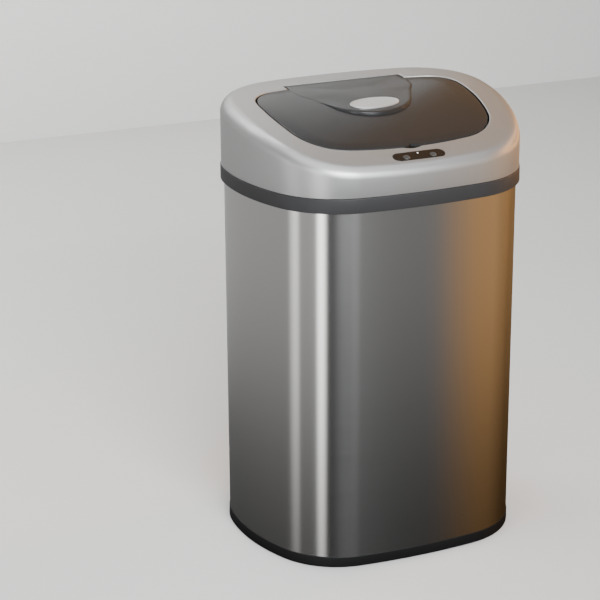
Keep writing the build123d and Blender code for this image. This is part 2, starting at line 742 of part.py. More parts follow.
# Power switch in the back wall, and its rocker
with BuildPart() as switch_body:
    with BuildSketch(SWITCH_PLANE):
        Rectangle(SWITCH_WIDTH + 2, SWITCH_HEIGHT + 2)
    extrude(amount=1)
    with BuildSketch(SWITCH_PLANE):
        Rectangle(SWITCH_WIDTH, SWITCH_HEIGHT)
    extrude(amount=-12)
    with BuildSketch(SWITCH_PLANE.offset(1)):
        Rectangle(SWITCH_WIDTH - 3, SWITCH_HEIGHT - 3)
    extrude(amount=-9, mode=Mode.SUBTRACT)
save(switch_body.part, "switch_body")

# The rocker stands tilted; its pivot lies under the face
with BuildPart() as power_rocker:
    with BuildSketch(SWITCH_PLANE):
        Rectangle(SWITCH_WIDTH - 4, SWITCH_HEIGHT - 6)
    extrude(amount=-4)
    with BuildSketch(SWITCH_PLANE):
        Rectangle(SWITCH_WIDTH - 4, SWITCH_HEIGHT - 6)
    extrude(amount=1.5)
    rocker_axis = Axis(SWITCH_PLANE.origin - SWITCH_PLANE.z_dir * 2, SWITCH_PLANE.x_dir)
rocker = power_rocker.part.rotate(rocker_axis, ROCKER_TILT)
save(rocker, "power_rocker")

# Sensor window with holes for the buttons and the lamp
button_places = [(BUTTON_X, BUTTON_Y), (-BUTTON_X, BUTTON_Y)]
with BuildPart() as sensor_window:
    with BuildSketch(PANEL_PLANE):
        SlotOverall(PANEL_LENGTH - 2 * GAP, PANEL_WIDTH - 2 * GAP)
    extrude(amount=-PANEL_THICK + WALL / 4)
    with BuildSketch(PANEL_PLANE.offset(-PANEL_THICK)):
        SlotOverall(PANEL_LENGTH + 4, PANEL_WIDTH + 3)
    extrude(amount=-1.2)
    with BuildSketch(PANEL_PLANE.offset(-PANEL_THICK)):
        SlotOverall(PANEL_LENGTH - 2 * GAP, PANEL_WIDTH - 2 * GAP)
    extrude(amount=PANEL_THICK / 2)
    with BuildSketch(PANEL_PLANE):
        with Locations(*button_places):
            Circle(BUTTON_RADIUS + GAP)
        with Locations((0, LAMP_Y)):
            Circle(LAMP_RADIUS)
    extrude(amount=3 * PANEL_THICK, both=True, mode=Mode.SUBTRACT)
save(sensor_window.part, "sensor_window")


def push_button(place):
    """A round cap with a stem that reaches down to the tact switch."""
    with BuildPart() as button:
        with BuildSketch(PANEL_PLANE.offset(BUTTON_TRAVEL + GAP)):
            with Locations(place):
                Circle(BUTTON_RADIUS)
        extrude(amount=-(PANEL_THICK + 1.2 + BUTTON_TRAVEL + 3 * GAP))
        fillet(button.faces().sort_by(Axis.Z)[-1].edges(), 2 * GAP)
        with BuildSketch(PANEL_PLANE.offset(-PANEL_THICK - 1.2 - 2 * GAP)):
            with Locations(place):
                Circle(BUTTON_RADIUS + 1)
        extrude(amount=-1.2)
        with BuildSketch(PANEL_PLANE.offset(-PANEL_THICK)):
            with Locations(place):
                Circle(SCREW_RADIUS)
        extrude(amount=-(BOARD_DROP - PANEL_THICK - 2.2 - BUTTON_TRAVEL - GAP))
    return button.part


# Push buttons
with BuildPart() as open_button:
    add(push_button(button_places[0]))
save(open_button.part, "open_button")
with BuildPart() as close_button:
    add(push_button(button_places[1]))
save(close_button.part, "close_button")

# Status lamp
with BuildPart() as status_lamp:
    with BuildSketch(PANEL_PLANE):
        with Locations((0, LAMP_Y)):
            Circle(LAMP_RADIUS)
    extrude(amount=-BOARD_DROP)
save(status_lamp.part, "status_lamp")

# Infrared eyes: sender and receiver on the board
with BuildPart() as infrared_eyes:
    with BuildSketch(PANEL_PLANE.offset(-BOARD_DROP)):
        with Locations((EYE_X, -2), (-EYE_X, -2)):
            Circle(2.5)
    extrude(amount=BOARD_DROP - PANEL_THICK - 1.2 - GAP)
save(infrared_eyes.part, "infrared_eyes")

# Circuit board
with BuildPart() as circuit_board:
    with BuildSketch(PANEL_PLANE.offset(-BOARD_DROP)):
        Rectangle(PANEL_LENGTH, PANEL_WIDTH)
        with Locations((POST_X, 0), (-POST_X, 0)):
            Circle(SCREW_RADIUS, mode=Mode.SUBTRACT)
    extrude(amount=-BOARD_THICK)
save(circuit_board.part, "circuit_board")

# Tact switches under the buttons
with BuildPart() as tact_switches:
    with BuildSketch(PANEL_PLANE.offset(-BOARD_DROP)):
        with Locations(*button_places):
            Rectangle(6, 6)
    extrude(amount=2.2)
save(tact_switches.part, "tact_switches")

# Board posts, from the window's flange down to the board, and their screws
with BuildPart() as board_posts:
    with BuildSketch(PANEL_PLANE.offset(-BOARD_DROP)):
        with Locations((POST_X, 0), (-POST_X, 0)):
            Circle(BOSS_RADIUS)
            Circle(SCREW_RADIUS, mode=Mode.SUBTRACT)
    extrude(amount=BOARD_DROP - PANEL_THICK - 1.2)
save(board_posts.part, "board_posts")

with BuildPart() as board_screws:
    with BuildSketch(PANEL_PLANE.offset(-BOARD_DROP - BOARD_THICK)):
        with Locations((POST_X, 0), (-POST_X, 0)):
            Circle(SCREW_HEAD_RADIUS)
    extrude(amount=-SCREW_HEAD)
    with BuildSketch(PANEL_PLANE.offset(-BOARD_DROP - BOARD_THICK)):
        with Locations((POST_X, 0), (-POST_X, 0)):
            Circle(SCREW_RADIUS)
    extrude(amount=BOARD_THICK + 5)
save(board_screws.part, "board_screws")
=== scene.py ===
import bpy
import json
from math import asin, atan2, cos, degrees, hypot, pi, radians, sin, sqrt
from mathutils import Matrix, Vector


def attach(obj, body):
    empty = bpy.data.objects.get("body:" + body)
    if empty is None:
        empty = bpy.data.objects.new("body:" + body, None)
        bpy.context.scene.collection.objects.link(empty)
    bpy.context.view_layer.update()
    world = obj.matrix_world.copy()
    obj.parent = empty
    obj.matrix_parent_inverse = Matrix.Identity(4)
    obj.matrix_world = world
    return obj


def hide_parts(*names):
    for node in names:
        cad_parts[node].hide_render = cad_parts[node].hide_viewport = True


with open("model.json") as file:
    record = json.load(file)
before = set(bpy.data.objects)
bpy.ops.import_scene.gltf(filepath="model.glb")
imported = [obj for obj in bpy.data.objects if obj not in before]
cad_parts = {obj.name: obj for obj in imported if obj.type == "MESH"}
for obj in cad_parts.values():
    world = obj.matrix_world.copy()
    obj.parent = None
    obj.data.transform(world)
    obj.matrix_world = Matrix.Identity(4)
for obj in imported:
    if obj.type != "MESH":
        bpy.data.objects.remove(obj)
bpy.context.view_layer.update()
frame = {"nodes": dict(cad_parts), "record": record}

# %% [markdown]
# # A kitchen bin whose flap opens by itself
# The CAD part holds the exact sizes, the joints and the hidden works. This lesson builds the pieces that
# the eye meets on top of it: the brushed steel tube, the black bands, the silver head, the smoky flap
# with its hood and blank badge, and the little sensor panel. Lengths are in metres, +Z is up and the
# front faces -Y.

# %% [markdown]
# ## The camera first
# A likeness stands or falls with the viewpoint, so the camera is placed before anything is modelled. It
# looks down at the bin from its front left corner. A long lens keeps the upright edges nearly parallel.
# The camera's matrix is written as three directions: its right, its up and the way it looks back.

# %% Camera
azimuth, elevation, roll = radians(-23.438), radians(19.322), radians(-0.333)
back = Vector((sin(azimuth) * cos(elevation), -cos(azimuth) * cos(elevation), sin(elevation)))
right = Vector((cos(azimuth), sin(azimuth), 0))
up = back.cross(right)
rolled_right = right * cos(roll) + up * sin(roll)
rolled_up = up * cos(roll) - right * sin(roll)
bpy.ops.object.camera_add()
camera = bpy.context.object
camera.name = "photo_camera"
turn = Matrix((rolled_right, rolled_up, back)).transposed()
camera.matrix_world = Matrix.Translation((-1.3227, -2.7608, 1.4458)) @ turn.to_4x4()
camera.data.sensor_width = 36
camera.data.lens = 121.6
bpy.context.scene.camera = camera
print("camera at", [round(v, 3) for v in camera.location], "lens", camera.data.lens)

# %% [markdown]
# ## The sizes, said once
# Seen from above the head is a broad oval of arcs: flat ones in front and behind, rounder ones at the
# sides and tight ones at the corners. The flap's opening is drawn in the same way. The head's top is part
# of a wide cylinder that lies across the bin, with its crown near the back.

# %% Sizes
HEAD = dict(
    width=.4575, depth=.3645, y=0,
    front=.910, back=.811, side=.318, side_y=.025, nose=.126, heel=.129,
)
OPENING = dict(
    width=.351, depth=.2435, y=-.0142,
    front=.614, back=.727, side=.373, side_y=.022, nose=.083, heel=.0505,
)
CROWN_RADIUS, CROWN_TOP, CROWN_Y = .922, .7079, .160
SHOULDER = .021
COVER_BOTTOM = .6017


def crown(y, drop=0.0):
    """Height of the head's rounded top over a place y, less a drop square to the surface."""
    return CROWN_TOP - CROWN_RADIUS + sqrt((CROWN_RADIUS - drop) ** 2 - (y - CROWN_Y) ** 2)


print("head", HEAD["width"], "m wide,", HEAD["depth"], "m deep; crown over its front", round(crown(-.18), 4))

# %% [markdown]
# ## Outlines that flow
# The outline of the head is eight arcs that flow into one another. Two arcs touch smoothly where their
# centres and the point of contact lie on one line, so a corner's centre is found where two circles
# cross. Every other outline of the body is the same one, pushed in or out a little.

# %% Outlines
def circles_meet(a, ra, b, rb, towards):
    """The point where two circles cross, on the front (-1) or the back (1) side."""
    gap = b - a
    along = (ra**2 - rb**2 + gap.length_squared) / (2 * gap.length)
    across = sqrt(ra**2 - along**2)
    foot = a + gap.normalized() * along
    side_step = Vector((-gap.y, gap.x)).normalized() * across
    return max(foot + side_step, foot - side_step, key=lambda p: p.y * towards)


def outline(size, count):
    """count points with their outward directions, anticlockwise from the middle of the front."""
    front = Vector((0, size["y"] - size["depth"] / 2 + size["front"]))
    rear = Vector((0, size["y"] + size["depth"] / 2 - size["back"]))
    side = Vector((size["width"] / 2 - size["side"], size["side_y"]))
    nose = circles_meet(front, size["front"] - size["nose"], side, size["side"] - size["nose"], -1)
    heel = circles_meet(rear, size["back"] - size["heel"], side, size["side"] - size["heel"], 1)
    meetings = ((front, nose), (side, nose), (side, heel), (rear, heel))
    ends = [-pi / 2, *(atan2(*(b - a).yx) for a, b in meetings), pi / 2]
    radii = [size[name] for name in ("front", "nose", "side", "heel", "back")]
    arcs = list(zip((front, nose, side, heel, rear), radii, ends, ends[1:]))
    half_length = sum(radius * (stop - start) for _, radius, start, stop in arcs)
    points = []
    for step in range(count // 2):
        travel = half_length * (step + .5) / (count // 2)
        for centre, radius, start, stop in arcs:
            if travel <= radius * (stop - start):
                break
            travel -= radius * (stop - start)
        direction = Vector((cos(start + travel / radius), sin(start + travel / radius)))
        points.append((centre + direction * radius, direction))
    mirrored = [(Vector((-p.x, p.y)), Vector((-d.x, d.y))) for p, d in reversed(points)]
    return points + mirrored


COUNT = 480
head_line = outline(HEAD, COUNT)
opening_line = outline(OPENING, 2 * COUNT)


def pushed(line, amount):
    """The line's points moved outwards by an amount."""
    return [point + direction * amount for point, direction in line]


def flat_ring(line, amount, z):
    """The pushed line as a level ring at height z."""
    return [(p.x, p.y, z) for p in pushed(line, amount)]


print("head outline of", len(head_line), "points, opening of", len(opening_line))

# %% [markdown]
# ## A sheet that becomes anything
# Blender's grid is a flat sheet of small squares. If its rows are laid one after the other on a set of
# rings and the seam is welded, the sheet turns into a tube, a lid or a dish. One helper does that for
# all the moulded pieces, so each of them is only a list of rings, written from one edge to the other.

# %% Helpers for the pieces
def wrap(name, rings, cap_first=False, cap_last=False, angle=35):
    """Lays a grid on rings of equal length, welds its seam and closes the ends that are asked for."""
    bpy.ops.object.select_all(action="DESELECT")
    across, along = len(rings[0]), len(rings)
    bpy.ops.mesh.primitive_grid_add(x_subdivisions=across, y_subdivisions=along - 1, size=1)
    piece = bpy.context.object
    piece.name = name
    for vertex in piece.data.vertices:
        i = round((vertex.co.x + .5) * across) % across
        j = round((vertex.co.y + .5) * (along - 1))
        vertex.co = rings[j][i]
    bpy.ops.object.mode_set(mode="EDIT")
    bpy.ops.mesh.select_all(action="SELECT")
    bpy.ops.mesh.remove_doubles(threshold=1e-6)
    bpy.ops.object.mode_set(mode="OBJECT")
    ends = ([rings[0]] if cap_first else []) + ([rings[-1]] if cap_last else [])
    for ring in ends:
        wanted = {tuple(round(c, 6) for c in point) for point in ring}
        bpy.ops.object.mode_set(mode="EDIT")
        bpy.ops.mesh.select_all(action="DESELECT")
        bpy.ops.mesh.select_mode(type="VERT")
        bpy.ops.object.mode_set(mode="OBJECT")
        for vertex in piece.data.vertices:
            vertex.select = tuple(round(c, 6) for c in vertex.co) in wanted
        bpy.ops.object.mode_set(mode="EDIT")
        bpy.ops.mesh.edge_face_add()
        bpy.ops.object.mode_set(mode="OBJECT")
    bpy.ops.object.mode_set(mode="EDIT")
    bpy.ops.mesh.select_all(action="SELECT")
    bpy.ops.mesh.normals_make_consistent(inside=False)
    bpy.ops.object.mode_set(mode="OBJECT")
    bpy.ops.object.shade_smooth_by_angle(angle=radians(angle))
    return piece


def finish_piece(piece, body, nodes, material):
    """Gives a piece its material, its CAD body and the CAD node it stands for."""
    piece.data.materials.clear()
    piece.data.materials.append(material)
    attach(piece, body)
    if nodes:
        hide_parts(nodes)
    print(piece.name, len(piece.data.vertices), "vertices on", body)


def band(name, line, profile):
    """A closed ring of material: profile is a loop of (push, z) pairs."""
    return wrap(name, [flat_ring(line, push, z) for push, z in profile + profile[:1]])


print("helpers are ready to wrap rings into pieces")

# %% [markdown]
# ## Four small tools for finishes
# Every finish here starts from the same shader. The tools set its colour, make noise on the piece's own
# coordinates, spread that noise over a chosen range, and turn it into a fine relief. Written once, they
# keep each finish down to a few lines.

# %% Material helpers
def new_material(name, colour, metallic=0.0, roughness=0.5):
    """A material and its shader, with one colour, metallic and roughness all over."""
    material = bpy.data.materials.new(name)
    material.use_nodes = True
    shader = material.node_tree.nodes["Principled BSDF"]
    shader.inputs["Base Color"].default_value = (*colour, 1)
    shader.inputs["Metallic"].default_value = metallic
    shader.inputs["Roughness"].default_value = roughness
    return material, shader


def noise(material, scale, stretch=(1, 1, 1), detail=4):
    """Noise on the piece's own coordinates, stretched by the three factors."""
    nodes, links = material.node_tree.nodes, material.node_tree.links
    place = nodes.new("ShaderNodeTexCoord")
    mapping = nodes.new("ShaderNodeMapping")
    mapping.inputs["Scale"].default_value = stretch
    texture = nodes.new("ShaderNodeTexNoise")
    texture.inputs["Scale"].default_value = scale
    texture.inputs["Detail"].default_value = detail
    links.new(place.outputs["Object"], mapping.inputs["Vector"])
    links.new(mapping.outputs["Vector"], texture.inputs["Vector"])
    return texture.outputs["Fac"]


def ranged(material, value, low, high, socket):
    """Sends a 0 to 1 value, spread over low to high, into a shader's socket."""
    nodes, links = material.node_tree.nodes, material.node_tree.links
    spread = nodes.new("ShaderNodeMapRange")
    spread.inputs["From Min"].default_value = .3
    spread.inputs["From Max"].default_value = .7
    spread.inputs["To Min"].default_value = low
    spread.inputs["To Max"].default_value = high
    links.new(value, spread.inputs["Value"])
    links.new(spread.outputs["Result"], socket)


def bumped(material, shader, value, height, strength=.3):
    """Lets a 0 to 1 value raise the surface by up to a height."""
    nodes, links = material.node_tree.nodes, material.node_tree.links
    bump = nodes.new("ShaderNodeBump")
    bump.inputs["Strength"].default_value = strength
    bump.inputs["Distance"].default_value = height
    links.new(value, bump.inputs["Height"])
    links.new(bump.outputs["Normal"], shader.inputs["Normal"])


print("tools for finishes are ready")

# %% [markdown]
# ## Brushed steel
# Brushing leaves thousands of fine level scratches. Seen closely they are noise that is stretched out
# along the wall and packed tight in height. The noise changes the roughness and the surface's slope a
# little. The anisotropic setting is turned by a quarter, so that it smears reflections upright, at right
# angles to the scratches. That smear makes the tall bright streaks on the corner.

# %% Brushed steel
steel, steel_shader = new_material("brushed_steel", (.60, .59, .575), 1.0, .26)
steel_shader.inputs["Anisotropic"].default_value = .8
steel_shader.inputs["Anisotropic Rotation"].default_value = .25
tangent = steel.node_tree.nodes.new("ShaderNodeTangent")
tangent.direction_type = "RADIAL"
tangent.axis = "Z"
steel.node_tree.links.new(tangent.outputs["Tangent"], steel_shader.inputs["Tangent"])
scratches = noise(steel, 9, (1, 1, 1100), 2)
ranged(steel, scratches, .18, .22, steel_shader.inputs["Roughness"])
bumped(steel, steel_shader, scratches, .0001, .02)
print("brushed steel is ready")

# %% [markdown]
# ## The painted and moulded finishes
# The head is silver paint: a metal with a rather wide sheen and tiny flakes. The bag ring is black
# plastic with a fine grain, and the foot ring is a duller black. The flap is smoky grey and glossy, so it
# mirrors the room softly. The finishes that fill much of the picture get a little noise, because no real
# surface is perfectly even.

# %% Paint, plastic and gloss
silver, silver_shader = new_material("silver_paint", (.46, .459, .454), .85, .36)
flakes = noise(silver, 2600, detail=2)
ranged(silver, flakes, .33, .45, silver_shader.inputs["Roughness"])
bumped(silver, silver_shader, flakes, .00004, .25)

black_foot_and_gap_shade, foot_shader = new_material("black_foot_and_gap_shade", (.005, .005, .005), 0, .5)
foot_shader.inputs["Specular IOR Level"].default_value = .2
black, black_shader = new_material("black_plastic", (.022, .022, .023), 0, .5)
black_shader.inputs["Specular IOR Level"].default_value = .35
grain = noise(black, 1400, detail=3)
bumped(black, black_shader, grain, .0001, .3)
ranged(black, grain, .42, .56, black_shader.inputs["Roughness"])

smoke, smoke_shader = new_material("smoky_gloss", (.019, .019, .0195), .06, .24)
smoke_shader.inputs["Specular IOR Level"].default_value = .33
smoke_shader.inputs["Coat Weight"].default_value = .1
smoke_shader.inputs["Coat Roughness"].default_value = .12
smudges = noise(smoke, 9, detail=1)
ranged(smoke, smudges, .23, .27, smoke_shader.inputs["Roughness"])

print("paint, plastic and smoky gloss are ready")

# %% [markdown]
# ## The small and the hidden finishes
# The badge, the sensor panel, the lamp and the buttons are small, so one even colour each is enough. The
# hidden works show only when the flap or the head opens: white gears, a green board, bronze bushes and
# bright screws. The lamp gives a little light of its own, so that its dot stays white.

# %% Small and hidden finishes
badge_paint, _ = new_material("badge_silver", (.70, .70, .69), .8, .30)
gloss, gloss_shader = new_material("panel_gloss", (.012, .010, .009), 0, .10)
gloss_shader.inputs["Specular IOR Level"].default_value = .3
button_paint, _ = new_material("button_grey", (.05, .047, .045), .2, .32)
rubber, _ = new_material("rubber", (.02, .02, .02), 0, .8)
lamp, lamp_shader = new_material("lamp_white", (.9, .9, .88), 0, .3)
lamp_shader.inputs["Emission Color"].default_value = (1, 1, 1, 1)
lamp_shader.inputs["Emission Strength"].default_value = .5
bright, _ = new_material("bright_steel", (.62, .62, .62), 1, .25)
bronze, _ = new_material("bronze", (.45, .28, .12), 1, .4)
ivory, _ = new_material("gear_white", (.80, .78, .72), 0, .45)
board, _ = new_material("board_green", (.02, .12, .05), 0, .35)
sleeve, _ = new_material("cell_sleeve", (.05, .05, .07), 0, .3)
print("ten small and hidden finishes are ready")

# %% [markdown]
# ## Finishes for the CAD part
# Each node of the CAD part names a slot. The finish of that slot goes onto the node, so that even a piece
# which nobody models again below has a proper surface.

# %% Finishes by slot
finishes = {
    "brushed_steel": steel, "silver_cover": silver, "black_plastic": black, "rubber": rubber,
    "smoke_gloss": smoke, "badge_silver": badge_paint, "panel_gloss": gloss, "button_grey": button_paint,
    "lamp_white": lamp, "bright_steel": bright, "bronze": bronze, "gear_white": ivory,
    "board_green": board, "cell_dark": sleeve,
}
slot_of = {entry["node"]: entry["material_slot"] for entry in frame["record"]["subparts"]}
for node, piece in frame["nodes"].items():
    for slot in piece.material_slots:
        slot.material = finishes[slot_of[node]]
print("finishes for", len(slot_of), "CAD nodes")

# %% [markdown]
# ## The steel tube
# The tube is thin sheet on the shared outline. Its rings go down the inside, round the folded edge at
# the top and down the outside. Only two rings per wall are needed, because the wall is straight.

# %% Steel tube
SHELL_PUSH, SHELL_WALL = -.0044, .0008
SHELL_LOW, SHELL_TOP, FOLD = .004, .5985, .0002
shell_inside = SHELL_PUSH - SHELL_WALL
shell_profile = [(shell_inside, SHELL_LOW), (shell_inside, SHELL_TOP)]
shell_profile += [(SHELL_PUSH - SHELL_WALL / 2, SHELL_TOP + FOLD)]
shell_profile += [(SHELL_PUSH, SHELL_TOP), (SHELL_PUSH, SHELL_LOW)]
shell = band("steel_tube", head_line, shell_profile)
finish_piece(shell, "bin", "steel_shell", steel)

# %% [markdown]
# ## Foot ring and bag ring
# Both are bands on the same outline, a little proud of the steel. Their edges are broken by small
# rounds, since a moulded edge that is dead sharp looks like paper. The bag ring is a hook in section:
# an outer skirt, a web over the steel and an inner leg that pins the bag.

# %% Foot ring and bag ring
def rounded(low, high, outer, radius, steps=4):
    """The outside of a band from its lower to its upper edge, with both edges rounded."""
    profile = []
    for step in range(steps + 1):
        turn_now = pi / 2 * step / steps
        profile.append((outer - radius + radius * sin(turn_now), low + radius - radius * cos(turn_now)))
    for step in range(steps + 1):
        turn_now = pi / 2 * step / steps
        profile.append((outer - radius + radius * cos(turn_now), high - radius + radius * sin(turn_now)))
    return profile


FOOT_LOW, FOOT_TOP, FOOT_PUSH, FOOT_ROUND = .001, .018, -.0033, .0009
UPSTAND_OUTSIDE, UPSTAND_INSIDE, UPSTAND_TOP, PAN_FLOOR = -.0052, -.0072, .030, .004
foot_profile = [(UPSTAND_OUTSIDE, FOOT_LOW)] + rounded(FOOT_LOW, FOOT_TOP, FOOT_PUSH, FOOT_ROUND)
foot_profile += [(UPSTAND_OUTSIDE, FOOT_TOP), (UPSTAND_OUTSIDE, UPSTAND_TOP)]
foot_profile += [(UPSTAND_INSIDE, UPSTAND_TOP), (UPSTAND_INSIDE, PAN_FLOOR)]
foot_rings = [flat_ring(head_line, push, z) for push, z in foot_profile]
foot = wrap("foot_pan", foot_rings, cap_first=True, cap_last=True)
finish_piece(foot, "bin", "base_pan", black_foot_and_gap_shade)
SKIRT_LOW, HOOK_TOP, HOOK_PUSH, HOOK_ROUND = .579, .6014, .0012, .0010
LEG_INSIDE, LEG_OUTSIDE, LEG_LOW = -.0107, -.0082, .5704
SKIRT_INSIDE, WEB_UNDER = -.0013, .599
hook_profile = rounded(SKIRT_LOW, HOOK_TOP, HOOK_PUSH, HOOK_ROUND)
hook_profile += [(LEG_INSIDE, HOOK_TOP), (LEG_INSIDE, LEG_LOW), (LEG_OUTSIDE, LEG_LOW)]
hook_profile += [(LEG_OUTSIDE, WEB_UNDER), (SKIRT_INSIDE, WEB_UNDER), (SKIRT_INSIDE, SKIRT_LOW)]
hook = band("bag_band", head_line, hook_profile)
finish_piece(hook, "ring", "bag_ring", black)

# %% [markdown]
# ## Measuring the opening
# The flap's opening is a smaller outline of the same kind, with a slot at the back for the hinge tab and
# a round scoop in front for a finger. All three are measured as a reach from one centre, in the same
# directions, so that they can be compared.

# %% Reach of outline, slot and scoop
CENTRE = Vector((0, OPENING["y"]))
SLOT_HALF, SLOT_BACK = .1015, .1205
SCOOP_RADIUS, SCOOP_DEPTH = .0318, .0035
scoop_y = OPENING["y"] - OPENING["depth"] / 2 + SCOOP_RADIUS - SCOOP_DEPTH


def reach_of(line, direction):
    """How far a closed line of points lies from the opening's centre in a direction."""
    aim = atan2(direction.y, direction.x)
    best = None
    for (a, _), (b, _) in zip(line, line[1:] + line[:1]):
        ta = (atan2(a.y - CENTRE.y, a.x) - aim + pi) % (2 * pi) - pi
        tb = (atan2(b.y - CENTRE.y, b.x) - aim + pi) % (2 * pi) - pi
        if ta <= 0 < tb and tb - ta < 1:
            share = -ta / (tb - ta)
            best = ((a - CENTRE).lerp(b - CENTRE, share)).length
            break
    return best


def slot_reach(direction, grow=0.0, half=SLOT_HALF, rear=SLOT_BACK):
    """Reach of the rectangle for the hinge tab, or nothing towards the front."""
    if direction.y <= 0:
        return 0
    limits = [(rear + grow - CENTRE.y) / direction.y]
    if abs(direction.x) > 1e-9:
        limits.append((half + grow) / abs(direction.x))
    return min(limits)


def scoop_reach(direction, grow=0.0, radius=SCOOP_RADIUS, y=scoop_y):
    """Reach of a circle on the middle line, as seen from the opening's centre."""
    offset = Vector((0, y)) - CENTRE
    along = offset.dot(direction)
    rest = (radius + grow) ** 2 - (offset.length_squared - along**2)
    return along + sqrt(rest) if rest > 0 and along > 0 else 0


print("the scoop's circle lies at y", round(scoop_y, 4))

# %% [markdown]
# ## The head's shoulder
# The shoulder is the path of a ball that touches both the wall and the top. For each point of the outline
# the ball's centre is found first, and the surface then turns about it, from level to the top's own
# slope. That keeps the shoulder equally round all the way, although the top is lower in front.

# %% Shoulder
def shoulder_point(index, share):
    """A point of the head's shoulder: share 0 lies on the wall and 1 on the top."""
    point, direction = head_line[index]
    centre = point - direction * SHOULDER
    lean = centre.y - CROWN_Y
    normal = Vector((0, lean, sqrt((CROWN_RADIUS - SHOULDER) ** 2 - lean**2)))
    normal.normalize()
    level = Vector((direction.x, direction.y, 0))
    whole = level.angle(normal)
    turned = (level * sin(whole * (1 - share)) + normal * sin(whole * share)) / sin(whole)
    return Vector((centre.x, centre.y, crown(centre.y, SHOULDER))) + turned * SHOULDER


print("the shoulder starts in front at", round(shoulder_point(0, 0).z, 4), "m")

# %% [markdown]
# ## The opening's edge
# The directions are taken from the shoulder's own points, so that each line of the sheet runs straight in
# from the shoulder to the opening. Two of them are moved onto the slot's corners, which stay crisp. In
# every direction the farthest of the three reaches wins.

# %% Opening's edge
directions = []
for index in range(COUNT):
    touch = shoulder_point(index, 1)
    directions.append((touch.xy - CENTRE).normalized())
corner = Vector((SLOT_HALF, SLOT_BACK)) - CENTRE
for side in (1, -1):
    aim = Vector((side * corner.x, corner.y)).normalized()
    nearest = min(range(COUNT), key=lambda i: (directions[i] - aim).length)
    directions[nearest] = aim
opening_reach = [reach_of(opening_line, d) for d in directions]


def edge_ring(grow):
    """The opening's whole edge, with the slot of the hinge tab and the finger scoop."""
    ring = []
    for d, reach in zip(directions, opening_reach):
        far = max(reach + grow, slot_reach(d, grow), scoop_reach(d, grow))
        ring.append(CENTRE + d * far)
    return ring


print("opening reaches", round(max(opening_reach), 4), "at most")

# %% [markdown]
# ## The silver head
# The head is one skin of moulded plastic. Its top is part of a wide cylinder, high at the back and
# falling to the front. The rings go round the lower edge, up the wall, over the shoulder, across the top
# to the opening, and down into it as a collar. The lip of the opening is rounded like a moulded edge.

# %% Silver head
def on_crown(ring, drop):
    """Lays a ring of flat points on the head's top, less a drop."""
    return [(p.x, p.y, crown(p.y, drop)) for p in ring]


HEAD_WALL, EDGE_ROUND, INNER_TOP = .0025, .0007, .616
LIP, COLLAR_WALL, COLLAR_LOW, COLLAR_TOP = .0012, .0025, .012, .0035
shoulder_rings = [[tuple(shoulder_point(i, k / 10)) for i in range(COUNT)] for k in range(11)]
wall_low = rounded(COVER_BOTTOM, CROWN_TOP, 0, EDGE_ROUND)[:5]
head_rings = [flat_ring(head_line, -HEAD_WALL, z) for z in (INNER_TOP, COVER_BOTTOM)]
head_rings += [flat_ring(head_line, push, z) for push, z in wall_low]
head_rings += shoulder_rings
inner_edge = edge_ring(LIP)
top_start = [Vector(p[:2]) for p in shoulder_rings[-1]]
for share in (.25, .5, .75, .9):
    head_rings.append(on_crown([a.lerp(b, share) for a, b in zip(top_start, inner_edge)], 0))
for share in (0, .3, .6, 1):
    angle_now = pi / 2 * share
    head_rings.append(on_crown(edge_ring(LIP * (1 - sin(angle_now))), LIP * (1 - cos(angle_now))))
for grow, drop in ((0, COLLAR_LOW), (COLLAR_WALL, COLLAR_LOW), (COLLAR_WALL, COLLAR_TOP)):
    head_rings.append(on_crown(edge_ring(grow), drop))
head_skin = wrap("silver_head", head_rings)
print("silver head", len(head_skin.data.polygons), "faces")

# %% [markdown]
# ## Tools for cutting
# The sensor panel lies square to the head's sloping front, so its points are laid out flat and then
# tilted into place. A boolean cuts a shape out of another. Its cutter is a plain solid that is removed
# after use.

# %% Cutting tools
PANEL_Y, PANEL_LENGTH, PANEL_WIDTH = -.1575, .086, .021
tilt = atan2(CROWN_Y - PANEL_Y, sqrt(CROWN_RADIUS**2 - (CROWN_Y - PANEL_Y) ** 2))
panel_place = Vector((0, PANEL_Y, crown(PANEL_Y)))
panel_turn = Matrix.Rotation(tilt, 3, "X")


def slab(name, size, place, turn_matrix=None):
    """A box of a size, turned and put in place."""
    bpy.ops.object.select_all(action="DESELECT")
    bpy.ops.mesh.primitive_cube_add(size=1)
    piece = bpy.context.object
    piece.name = name
    for vertex in piece.data.vertices:
        local = Vector((vertex.co.x * size[0], vertex.co.y * size[1], vertex.co.z * size[2]))
        vertex.co = (turn_matrix @ local if turn_matrix else local) + Vector(place)
    return piece


def stadium(length, width, count=64):
    """A slot with round ends as a ring of flat points."""
    points = []
    for step in range(count):
        turn_now = 2 * pi * (step + .5) / count
        shift = (length - width) / 2 * (1 if cos(turn_now) > 0 else -1)
        points.append(Vector((shift + width / 2 * cos(turn_now), width / 2 * sin(turn_now))))
    return points


def panel_ring(points, height):
    """Flat points as a ring on the tilted panel, at a height over the head's top."""
    return [tuple(panel_place + panel_turn @ Vector((p.x, p.y, height))) for p in points]


def cut(piece, cutter):
    """Subtracts the cutter from the piece and removes it."""
    bpy.ops.object.select_all(action="DESELECT")
    piece.select_set(True)
    bpy.context.view_layer.objects.active = piece
    hole = piece.modifiers.new("hole", "BOOLEAN")
    hole.operation = "DIFFERENCE"
    hole.solver = "EXACT"
    hole.object = cutter
    bpy.ops.object.modifier_apply(modifier=hole.name)
    bpy.data.objects.remove(cutter)


print("the sensor panel leans", round(degrees(tilt), 1), "degrees")

# %% [markdown]
# ## Holes in the head
# The head has three holes beside the flap's: the sensor panel's slot in the front slope, the battery
# door's window in the back and the seat of the power switch. The switch sits on the bowed back, so its
# seat is turned to stand square to the wall.

